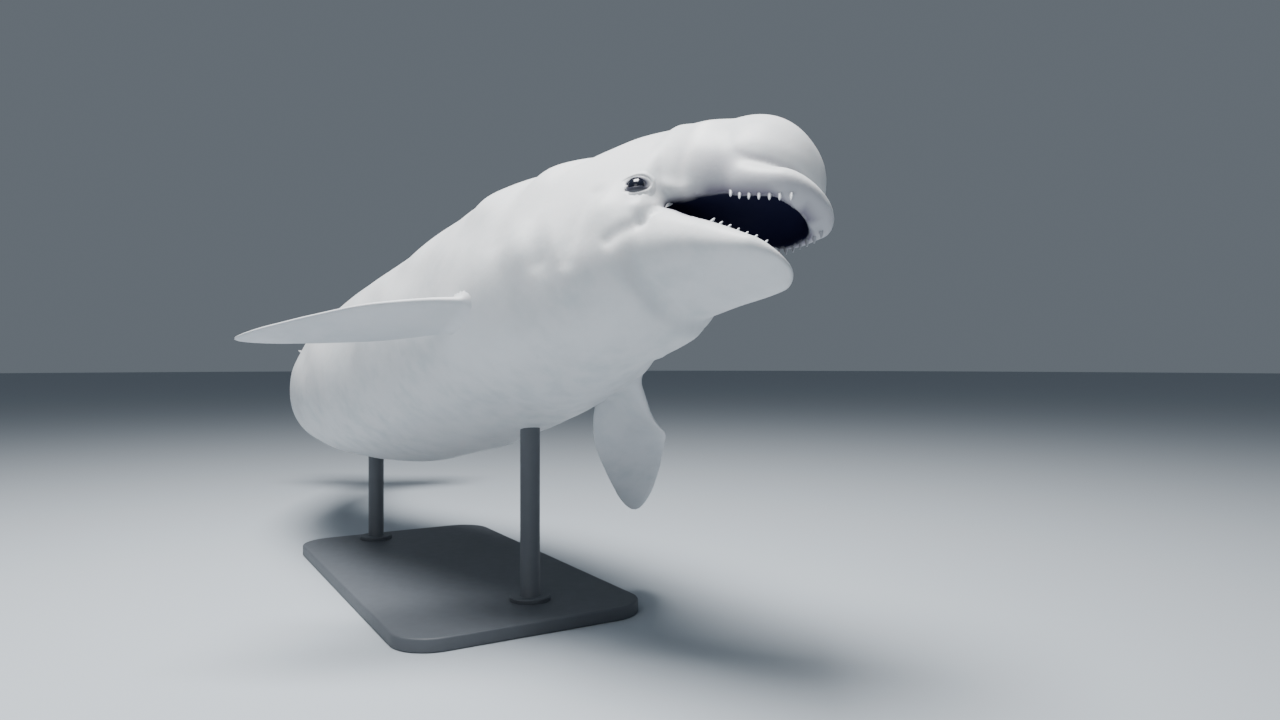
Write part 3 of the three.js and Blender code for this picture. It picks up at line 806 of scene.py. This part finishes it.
@dataclass(frozen=True)
class Skin:
    """The whale's one skin, from the lips to the flukes."""

    body: Body
    spine: Spine
    folds: tuple[Fold, ...] = (
        Fold(((372, -100), (348, -74), (326, -56)), 4.0, 13),
        Fold(((362, -134), (340, -104), (318, -86), (292, -84)), -5.0, 9),
        Fold(((420, -190), (390, -160), (356, -134)), -5.0, 14),
        Fold(((330, -24), (308, -32), (280, -40)), 6.0, 14),
        Fold(((560, 180), (600, 60), (620, -80), (600, -200)), -6.0, 24),
        Fold(((470, -60), (500, -140), (520, -220)), -5.0, 20),
        Fold(((690, 190), (720, 40), (720, -120)), -4.0, 30),
        Fold(((248, 120), (256, 40), (286, -35)), 2.6, 22),
    )
    lumps: tuple[Lump, ...] = (
        Lump(450, -110, 12, 50, 60),
        Lump(640, 60, 13, 60, 90),
        Lump(640, -160, 10, 50, 60),
        Lump(820, 60, 11, 70, 70),
        Lump(1250, 120, 6, 160, 90),
        Lump(1500, -120, 7, 180, 80),
        Lump(1900, 40, 7, 200, 110),
    )

    # Painted highlight: a lighter band behind the melon, along the raised fold there.
    highlight_band: Fold = Fold(((248, 110), (256, 35), (286, -35)), 1.0, 19)
    fold_strength: float = 1.5
    wave_height: float = 3.6
    along: tuple[tuple[float, float, float], ...] = (
        (-12, 470, 7.0), (470, 640, 10.0), (640, 3600, 18.5), (3600, 3930, 11.0),
    )
    across: tuple[tuple[float, float, float], ...] = (
        (-405, -234, 15.0), (-234, 234, 7.6), (234, 405, 15.0),
    )
    upright: tuple[tuple[float, float, float], ...] = (
        (-436, -306, 15.0), (-306, 280, 7.6), (280, 410, 15.0),
    )

    def relief(self, points: Array) -> Array:
        """Folds, lumps and the blowhole, and slow waves that keep the flanks from being even.

        Args:
            points: Rest-frame points.

        Returns:
            How far the skin is lifted at each.
        """
        total = self.fold_strength * sum(part.height(points) for part in (*self.folds, *self.lumps))
        x, y, z = points[..., 0], points[..., 1], points[..., 2]
        waves = np.sin(x / 61 + 1.3 * np.sin(z / 83)) * np.sin(z / 47 + y / 90 + 0.8 * np.sin(x / 120))
        reach = smooth(z, 170, 60) * smooth(-x, 420, 700) * (1 - smooth(-x, 3000, 3500))
        total = total + self.wave_height * waves * reach
        station, radius = self.body.blowhole
        off = np.hypot(-x - station - 10, y)
        slit = bell(off, radius, 4.5) * smooth(station + 14 + x, -6, 4) * (z > 100)
        rim = bell(off, radius, 15) * (z > 100)
        return total + 2.5 * rim - 9.0 * slit

    def net(self) -> Surface:
        """Trunk, melon, jaw and mouth as one net, fine at the head and coarser behind it.

        Returns:
            The net, settled on the field and lifted by the relief.
        """
        body = self.body
        x = -steps(*self.along)[::-1]
        y = steps(*self.across)
        z = steps(*self.upright)
        grid = np.stack(np.meshgrid(x, y, z, indexing="ij"), -1)
        read = self.flesh_with_sockets
        values = np.concatenate([read(part) for part in np.array_split(grid, 24)])
        found = surface_net((x, y, z), values)
        for _ in range(3):
            found.points = body.settle(relax(found.points, found.faces, 0.5), read, 2)
        normal = body.outward(found.points, read)
        mouth = body.mouth(found.points)
        lift = self.relief(found.points) * smooth(mouth, 6, 30)
        depth = smooth(-mouth, -8, -1)
        back = -found.points[:, 0]
        # Partly the lip's own purple-grey inner face and partly painted shade: darker where the upper lip
        # faces down and deeper towards the mouth's hollow.
        underside_shade = smooth(-normal[:, 2], -0.05, 0.4) * smooth(np.abs(body.trunk(found.points)), 30, 12)
        underside_shade = underside_shade * (0.4 + 0.6 * smooth(mouth, 38, 2)) * (1 - smooth(back, 270, 320))
        rim = np.maximum(underside_shade, bell(mouth, 3, 8)) * (1 - depth)
        # Painted shade: the mouth's hollow is coloured near black for the shade inside it.
        found.weights["mouth"] = depth * smooth(back, 20, 60)
        found.weights["lip"] = rim * (1 - smooth(back, 330, 380))
        # Painted highlight: the weight of the lighter band behind the melon.
        found.weights["highlight_band"] = self.highlight_band.height(found.points)
        found.points = found.points + normal * lift[:, None]
        return found

    def flesh_with_sockets(self, points: Array) -> Array:
        """The flesh with a round socket taken out for each eye."""
        found = self.body.flesh(points)
        for side in Side:
            at, _, _, outward = self.body.eye_place(side)
            centre = at - outward * self.body.eye_sink
            ball = self.body.eye_radius - 0.2 - np.linalg.norm(points - centre, axis=-1)
            found = smooth_max(found, ball, 1.0)
        return found

    def build(self, finish: bpy.types.Material) -> bpy.types.Object:
        """Joins the net, the limbs and the eyes' surrounds into one dressed piece.

        Args:
            finish: The skin's material.

        Returns:
            The skin.
        """
        parts = [self.net()]
        for side in Side:
            parts.append(Flipper(side).surface(self.body))
            parts.append(Fluke(side).surface(self.body))
            parts.append(EyeSurround(side).surface(self.body))
        skin = make_piece("skin", parts, self.spine, finish)
        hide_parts(*FLESH_NODES)
        return skin


WEIGHTS = ("mouth", "lip", "eye", "limb", "highlight_band")


def make_piece(
    name: str, parts: Sequence[Surface], spine: Union[Spine, None], finish: bpy.types.Material
) -> bpy.types.Object:
    """Makes one smooth-shaded object of rest-frame surfaces, or of surfaces in room millimetres.

    Args:
        name: The piece's name.
        parts: Its surfaces.
        spine: The spine that places them, or None for surfaces already in the room.
        finish: Its material.

    Returns:
        The object, riding on the whole model.
    """
    starts = np.cumsum([0] + [len(part.points) for part in parts])
    points = np.concatenate([part.points for part in parts])
    faces = [(part.faces + start).tolist() for part, start in zip(parts, starts)]
    placed = spine.place(points) if spine else points * MM
    mesh = bpy.data.meshes.new(name)
    mesh.from_pydata(placed.tolist(), [], [face for group in faces for face in group])
    for weight in WEIGHTS:
        if any(weight in part.weights for part in parts):
            values = [part.weights.get(weight, np.zeros(len(part.points))) for part in parts]
            layer = mesh.attributes.new(weight, "FLOAT", "POINT")
            layer.data.foreach_set("value", np.concatenate(values).astype(np.float32))
    clean(mesh)
    mesh.shade_smooth()
    mesh.materials.append(finish)
    piece = bpy.data.objects.new(name, mesh)
    bpy.context.scene.collection.objects.link(piece)
    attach(piece, "root")
    return piece


def clean(mesh: bpy.types.Mesh) -> None:
    """Merges points that fall together and turns every closed part's faces outwards."""
    work = bmesh.new()
    work.from_mesh(mesh)
    bmesh.ops.remove_doubles(work, verts=work.verts, dist=1e-5)
    bmesh.ops.dissolve_degenerate(work, edges=work.edges, dist=1e-6)
    bmesh.ops.recalc_face_normals(work, faces=work.faces)
    work.to_mesh(mesh)
    work.free()


@dataclass(frozen=True)
class Eyes:
    """The two dark eyeballs."""

    body: Body
    spine: Spine

    def build(self, finish: bpy.types.Material) -> list[bpy.types.Object]:
        """Makes each eyeball, a sphere sunk into its socket.

        Args:
            finish: The eyes' material.

        Returns:
            The eyeballs.
        """
        made = []
        for side in Side:
            at, _, _, outward = self.body.eye_place(side)
            ball = sphere(at - outward * self.body.eye_sink, self.body.eye_radius, 40, 64)
            name = f"eye_{side.name.lower()}"
            piece = make_piece(f"{name}_ball", [ball], self.spine, finish)
            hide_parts(name)
            made.append(piece)
        return made


def sphere(centre: Array, radius: float, rows: int, columns: int) -> Surface:
    """A sphere by latitude and longitude."""
    lat = np.linspace(0, np.pi, rows)[:, None]
    lon = np.linspace(0, 2 * np.pi, columns, endpoint=False)[None, :]
    x = np.cos(lat) + 0 * lon
    points = np.stack([x, np.sin(lat) * np.cos(lon), np.sin(lat) * np.sin(lon)], -1)
    return grid_surface(centre + radius * points)


@dataclass(frozen=True)
class Teeth:
    """Small peg teeth in a row along each lip."""

    body: Body
    spine: Spine
    lengths: tuple[float, float] = (18, 8)
    insets: tuple[float, float] = (34, 34)
    root: float = 10
    radius: float = 4.8
    first: float = 42
    spacing: float = 22
    counts: tuple[int, int] = (7, 7)

    def _row(self, upper: bool, rng: np.random.Generator) -> list[Surface]:
        """Pegs whose radius follows a rounded cone, set along one jaw.

        Args:
            upper: Whether the row is the upper jaw's.
            rng: Varies their sizes.

        Returns:
            The pegs.
        """
        shape, way, tip, power = TRUNK, -1, 0.0, self.body.powers[0]
        if not upper:
            shape, way, tip, power = JAW, 1, self.body.jaw_tip, self.body.powers[1]
        which = 0 if upper else 1
        length, inset = self.lengths[which], self.insets[which]
        v = np.linspace(0, 1, 12)[:, None]
        angle = np.linspace(0, 2 * np.pi, 14, endpoint=False)[None, :]
        pegs = []
        for side in Side:
            for i in range(self.counts[which]):
                station = tip + self.first + i * self.spacing
                at = np.array(station)
                reach = shape.half_width(at) * rounding(at - tip, 60)
                middle = (shape.top(at) + shape.bottom(at)) / 2
                half = (shape.top(at) - shape.bottom(at)) / 2
                gum = half * (1 - (1 - inset / reach) ** power) ** (1 / power)
                rim = middle + way * gum
                size = rng.uniform(0.85, 1.1)
                r = self.radius * size * np.sqrt(1 - v**2.6) * (0.75 + 0.25 * (1 - v))
                x = -station + r * np.cos(angle) * 1.1
                y = side.value * (reach - inset) + r * np.sin(angle) * 0.9
                z = rim + way * ((length * size + self.root) * v - self.root) + 0 * angle
                x = x + 4.0 * v
                found = grid_surface(np.stack([x, y, z], -1))
                if not upper:
                    found.points = self.body.open(found.points, found.points)
                pegs.append(found)
        return pegs

    def build(self, finish: bpy.types.Material) -> bpy.types.Object:
        """Makes both rows as one piece."""
        rng = np.random.default_rng(7)
        rows = self._row(True, rng) + self._row(False, rng)
        piece = make_piece("teeth", rows, self.spine, finish)
        return piece


@dataclass(frozen=True)
class Tongue:
    """The tongue, lying in the lower jaw."""

    body: Body
    spine: Spine
    reach: tuple[float, float] = (95, 350)
    half_width: float = 56
    height: float = 24
    z: float = -90

    def build(self, finish: bpy.types.Material) -> bpy.types.Object:
        """Makes elliptic sections along the jaw, with a shallow furrow down the middle.

        Args:
            finish: The tongue's material.

        Returns:
            The tongue.
        """
        v = np.linspace(0, 1, 40)[:, None]
        angle = np.linspace(0, 2 * np.pi, 48, endpoint=False)[None, :]
        end = rounding(v, 0.35) * rounding(1 - v, 0.1)
        x = -(self.reach[0] + np.ptp(self.reach) * v) + 0 * angle
        y = self.half_width * end * np.sin(angle)
        z = self.z + self.height * end * np.cos(angle) * (1 - 0.14 * bell(y, 0, 10))
        shape = grid_surface(np.stack([x, y, z], -1))
        shape.points = self.body.open(shape.points, shape.points)
        piece = make_piece("tongue_flesh", [shape], self.spine, finish)
        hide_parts("tongue")
        return piece


@dataclass(frozen=True)
class Stand:
    """The display stand: a flat base and two rods with flanges."""

    base: tuple[float, float, float] = (1500, 760, 40)
    corner: float = 120
    bevel: float = 6
    radius: float = 30
    flange: tuple[float, float] = (62, 14)

    def _base(self) -> Surface:
        """A rounded rectangle carried up with rounded edges, closed at its middle.

        Returns:
            The base in room millimetres.
        """
        half = np.array(self.base[:2]) / 2
        angle = np.linspace(0, 2 * np.pi, 160, endpoint=False) + 1e-6
        turn = np.stack([np.cos(angle), np.sin(angle)], -1)
        corner = np.sign(turn) * (half - self.corner)
        edge = np.linspace(0, np.pi / 2, 7)
        turned, level = self.bevel * (1 - np.sin(edge)), self.bevel * (1 - np.cos(edge))
        inset = np.concatenate([[half[1]], turned, level, [half[1]]])
        low, high = level, self.base[2] - turned
        height = np.concatenate([[0.0], low, high, [self.base[2]]])
        rows = []
        for off, z in zip(inset, height):
            ring = corner + turn * max(self.corner - off, 0.0)
            if off >= half[1]:
                ring = ring * 0
            rows.append(np.column_stack([ring, np.full(len(ring), z)]))
        return grid_surface(np.array(rows))

    def _rod(self, node: str) -> Surface:
        """A round rod with a flat top, and a flange at its foot.

        Args:
            node: The rod's node, which says where it stands and how high it reaches.

        Returns:
            The rod in room millimetres.
        """
        low, high = (np.array(corner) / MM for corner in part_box(node))
        middle = (low + high) / 2
        angle = np.linspace(0, 2 * np.pi, 64, endpoint=False)
        ring = np.stack([np.cos(angle), np.sin(angle)], -1)
        wide, tall = self.flange
        rounds = [(0, low[2]), (wide, low[2]), (wide, low[2] + tall - 3), (wide - 3, low[2] + tall)]
        rounds += [(self.radius + 2, low[2] + tall), (self.radius, low[2] + tall + 3)]
        rounds += [(self.radius, high[2]), (0, high[2])]
        rows = [
            np.column_stack([middle[:2] + ring * radius, np.full(len(ring), z)])
            for radius, z in rounds
        ]
        return grid_surface(np.array(rows))

    def build(self, finish: bpy.types.Material) -> list[bpy.types.Object]:
        """Makes the base and both rods."""
        made = []
        for node in ("stand_base", "stand_rod_front", "stand_rod_back"):
            shape = self._base() if node == "stand_base" else self._rod(node)
            piece = make_piece(f"{node}_painted", [shape], None, finish)
            piece.data.set_sharp_from_angle(angle=0.6)
            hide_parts(node)
            made.append(piece)
        return made


Input = Union["Socket", float, Sequence[float]]


@dataclass
class Socket:
    """A shader output that can be used in Python expressions on numbers."""

    graph: "Graph"
    link: bpy.types.NodeSocket

    def _math(self, operation: str, first: Input, second: Input) -> "Socket":
        """Adds a Math node for an expression."""
        return self.graph.node("ShaderNodeMath", {"operation": operation}, {0: first, 1: second})

    def __add__(self, other: Input) -> "Socket":
        """self + other."""
        return self._math("ADD", self, other)

    __radd__ = __add__

    def __sub__(self, other: Input) -> "Socket":
        """self - other."""
        return self._math("SUBTRACT", self, other)

    def __rsub__(self, other: Input) -> "Socket":
        """other - self."""
        return self._math("SUBTRACT", other, self)

    def __mul__(self, other: Input) -> "Socket":
        """self * other."""
        return self._math("MULTIPLY", self, other)

    __rmul__ = __mul__

    def __pow__(self, other: Input) -> "Socket":
        """self to the power of other."""
        return self._math("POWER", self, other)


@dataclass
class Graph:
    """A material's node tree, built by calls that return sockets."""

    material: bpy.types.Material

    def node(
        self, kind: str, settings: Mapping[str, object], inputs: Mapping[object, Input],
        output: Union[int, str] = 0,
    ) -> Socket:
        """Adds a node.

        Args:
            kind: The node's type.
            settings: Properties set before its sockets; "stops" holds a ramp's stops.
            inputs: Values or links by the socket's name or number.
            output: The socket that is returned.

        Returns:
            The node's output.
        """
        made = self.material.node_tree.nodes.new(kind)
        for name, value in settings.items():
            if name == "stops":
                self._stops(made.color_ramp, value)
            else:
                setattr(made, name, value)
        for name, value in inputs.items():
            if isinstance(value, Socket):
                self.material.node_tree.links.new(value.link, made.inputs[name])
            else:
                made.inputs[name].default_value = value
        return Socket(self, made.outputs[output])

    def _stops(self, ramp: bpy.types.ColorRamp, stops: Sequence[tuple[float, float]]) -> None:
        """Sets a grey ramp's stops, each a position and a level."""
        while len(ramp.elements) < len(stops):
            ramp.elements.new(1.0)
        for element, (position, level) in zip(ramp.elements, stops):
            element.position = position
            element.color = (level, level, level, 1.0)

    def noise(self, scale: float, detail: float, stretch: Vector = Vector((1, 1, 1))) -> Socket:
        """Noise on Object coordinates, stretched along the axes."""
        place = self.node("ShaderNodeTexCoord", {}, {}, "Object")
        scaled = self.node("ShaderNodeMapping", {}, {"Vector": place, "Scale": tuple(stretch)})
        return self.node(
            "ShaderNodeTexNoise", {}, {"Vector": scaled, "Scale": scale, "Detail": detail}, 0
        )

    def ramp(self, value: Socket, *stops: tuple[float, float]) -> Socket:
        """Reads a value through grey stops."""
        return self.node("ShaderNodeValToRGB", {"stops": stops}, {0: value})

    def weight(self, name: str) -> Socket:
        """The piece's own named weight."""
        return self.node("ShaderNodeAttribute", {"attribute_name": name}, {}, "Fac")

    def mix(self, share: Input, first: Input, second: Input) -> Socket:
        """Mixes two colours."""
        return self.node(
            "ShaderNodeMix", {"data_type": "RGBA"}, {0: share, 6: colour(first), 7: colour(second)}, 2
        )

    def finish(self, sockets: Mapping[str, Input]) -> bpy.types.Material:
        """Sets the shader's own sockets and returns the material."""
        shader = self.material.node_tree.nodes["Principled BSDF"]
        for name, value in sockets.items():
            if isinstance(value, Socket):
                self.material.node_tree.links.new(value.link, shader.inputs[name])
            else:
                shader.inputs[name].default_value = value
        return self.material


def colour(value: Input) -> Input:
    """Adds an alpha to a plain colour and leaves a socket as it is."""
    return value if isinstance(value, Socket) else (*value[:3], 1.0)


def new_graph(name: str) -> Graph:
    """A new material's graph."""
    material = bpy.data.materials.new(name)
    material.use_nodes = True
    return Graph(material)


@dataclass(frozen=True)
class SkinFinish:
    """White skin with faint mottling, a painted highlight on a band behind the melon, painted shade inside
    the mouth and round and below the eyes, and a lip underside that is partly its own purple-grey and
    partly painted shade.
    """

    white: Colour = (0.72, 0.735, 0.75)
    pale: Colour = (0.84, 0.85, 0.86)
    painted_highlight: Colour = (0.95, 0.96, 0.96)
    mottle: Colour = (0.44, 0.5, 0.52)
    # Partly the inner lip's own purple-grey and partly painted shade on the lip's underside.
    lip: Colour = (0.11, 0.085, 0.15)
    # Painted shade: the near-black navy of the mouth's hollow.
    inside: Colour = (0.012, 0.013, 0.05)
    eye_shade: Colour = (0.03, 0.03, 0.05)
    limb: Colour = (0.5, 0.52, 0.56)
    roughness: float = 0.42

    def material(self) -> bpy.types.Material:
        """Builds the skin's shader.

        Returns:
            The material.
        """
        graph = new_graph("skin_white")
        broad = graph.ramp(graph.noise(2.2, 3.0), (0.35, 0.0), (0.68, 1.0))
        fine = graph.ramp(graph.noise(16.0, 4.0), (0.42, 0.0), (0.72, 1.0))
        base = graph.mix(broad * 0.5, self.white, self.pale)
        base = graph.mix(fine * (1.0 - broad) * 0.42, base, self.mottle)
        # Painted highlight: the band behind the melon is mixed towards a brighter white.
        base = graph.mix(graph.weight("highlight_band") * 0.9, base, self.painted_highlight)
        base = graph.mix(graph.weight("limb") * 0.45, base, self.limb)
        # The lip's underside: partly its own purple-grey, partly painted shade where it faces down.
        base = graph.mix(graph.weight("lip") * 0.9, base, self.lip)
        # Painted shade: the mouth's hollow is mixed towards near black.
        base = graph.mix(graph.weight("mouth"), base, self.inside)
        # Painted shade round and below the eyes.
        base = graph.mix(graph.weight("eye"), base, self.eye_shade)
        rough = self.roughness + graph.weight("mouth") * 0.25 + fine * 0.08
        grain = graph.noise(38.0, 5.0) * 0.5 + graph.noise(210.0, 2.0) * 0.12
        normal = graph.node(
            "ShaderNodeBump", {}, {"Strength": 0.22, "Distance": 0.006, "Height": grain}
        )
        return graph.finish({
            "Base Color": base, "Roughness": rough, "Normal": normal,
            "Specular IOR Level": 0.16,
            "Coat Weight": 0.12 - graph.weight("mouth") * 0.12, "Coat Roughness": 0.3,
            "Subsurface Weight": 0.08, "Subsurface Radius": (0.02, 0.012, 0.01),
        })


@dataclass(frozen=True)
class PlainFinish:
    """One colour with a little unevenness, for the stand, teeth, tongue and eyes."""

    name: str
    base: Colour
    roughness: float
    metallic: float = 0.0
    coat: float = 0.0
    uneven: float = 0.12
    scale: float = 30.0

    def material(self) -> bpy.types.Material:
        """Builds the shader.

        Returns:
            The material.
        """
        graph = new_graph(self.name)
        patch = graph.noise(self.scale, 3.0)
        darker = tuple(channel * (1 - self.uneven) for channel in self.base)
        return graph.finish({
            "Base Color": graph.mix(patch, self.base, darker),
            "Roughness": self.roughness + patch * 0.06,
            "Metallic": self.metallic,
            "Coat Weight": self.coat,
            "Coat Roughness": 0.05,
        })


@dataclass(frozen=True)
class Studio:
    """The floor, the lights and the photograph's camera."""

    eye: tuple[float, float, float] = (2.980, -1.005, 0.770)
    heading: tuple[float, float, float] = (-0.85727, 0.51487, 0.0)
    focal_px: float = 869.85
    image_px: float = 1280
    sensor: float = 36.0
    floor: Colour = (0.44, 0.48, 0.52)
    sky: Colour = (0.55, 0.64, 0.74)
    sky_strength: float = 0.24
    floor_radii: tuple[float, ...] = (0.0, 6.0, 60.0)

    def camera(self) -> None:
        """Makes the camera, level and looking along its heading."""
        data = bpy.data.cameras.new("photo_camera")
        data.sensor_width = self.sensor
        data.lens = self.focal_px / self.image_px * self.sensor
        data.clip_end = 200
        camera = bpy.data.objects.new("photo_camera", data)
        turn = Vector(self.heading).to_track_quat("-Z", "Y").to_matrix().to_4x4()
        camera.matrix_world = Matrix.Translation(self.eye) @ turn
        bpy.context.scene.collection.objects.link(camera)
        bpy.context.scene.camera = camera

    def ground(self) -> None:
        """Makes the plain pale floor, a wide disc at height zero."""
        angle = np.linspace(0, 2 * np.pi, 96, endpoint=False)
        circle = np.column_stack([np.cos(angle), np.sin(angle), 0 * angle])
        rings = [radius * circle for radius in self.floor_radii]
        shape = grid_surface(np.array(rings))
        mesh = bpy.data.meshes.new("floor")
        mesh.from_pydata(shape.points.tolist(), [], shape.faces.tolist())
        clean(mesh)
        mesh.materials.append(PlainFinish("floor_matt", self.floor, 0.9, uneven=0.0).material())
        floor = bpy.data.objects.new("floor", mesh)
        bpy.context.scene.collection.objects.link(floor)

    def lights(self) -> None:
        """Makes a broad lamp above, a low one from the camera's left, and a soft sky."""
        world = bpy.data.worlds.new("studio")
        world.use_nodes = True
        world.node_tree.nodes["Background"].inputs["Color"].default_value = (*self.sky, 1.0)
        world.node_tree.nodes["Background"].inputs["Strength"].default_value = self.sky_strength
        bpy.context.scene.world = world
        for name, place, size, power in (
            ("key", (1.1, -0.9, 5.2), 2.4, 700.0),
            ("front", (4.5, -4.5, 3.2), 3.0, 40.0),
        ):
            data = bpy.data.lights.new(name, "AREA")
            data.size = size
            data.energy = power
            lamp = bpy.data.objects.new(name, data)
            turn = (Vector((0, 0, 0.6)) - Vector(place)).to_track_quat("-Z", "Y")
            lamp.matrix_world = Matrix.Translation(place) @ turn.to_matrix().to_4x4()
            bpy.context.scene.collection.objects.link(lamp)


def main() -> None:
    """Builds the whale, its stand and the studio."""
    logging.basicConfig(level=logging.INFO, format="%(message)s")
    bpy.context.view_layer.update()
    body, spine = Body(), Spine()
    studio = Studio()
    studio.camera()
    made = [Skin(body, spine).build(SkinFinish().material())]
    eye = PlainFinish("eye_dark", (0.006, 0.008, 0.018), 0.14, coat=0.4, uneven=0.4, scale=90.0)
    made += Eyes(body, spine).build(eye.material())
    tooth = PlainFinish("tooth_ivory", (0.62, 0.64, 0.68), 0.3, coat=0.3, uneven=0.2, scale=60.0)
    made.append(Teeth(body, spine).build(tooth.material()))
    flesh = PlainFinish("tongue_flesh", (0.2, 0.15, 0.2), 0.35, coat=0.3, uneven=0.3, scale=40.0)
    made.append(Tongue(body, spine).build(flesh.material()))
    paint = PlainFinish("stand_grey", (0.1, 0.11, 0.125), 0.5)
    made += Stand().build(paint.material())
    for piece in made:
        LOG.info("%s: %d faces", piece.name, len(piece.data.polygons))
    studio.ground()
    studio.lights()


if __name__ == "__main__":
    main()
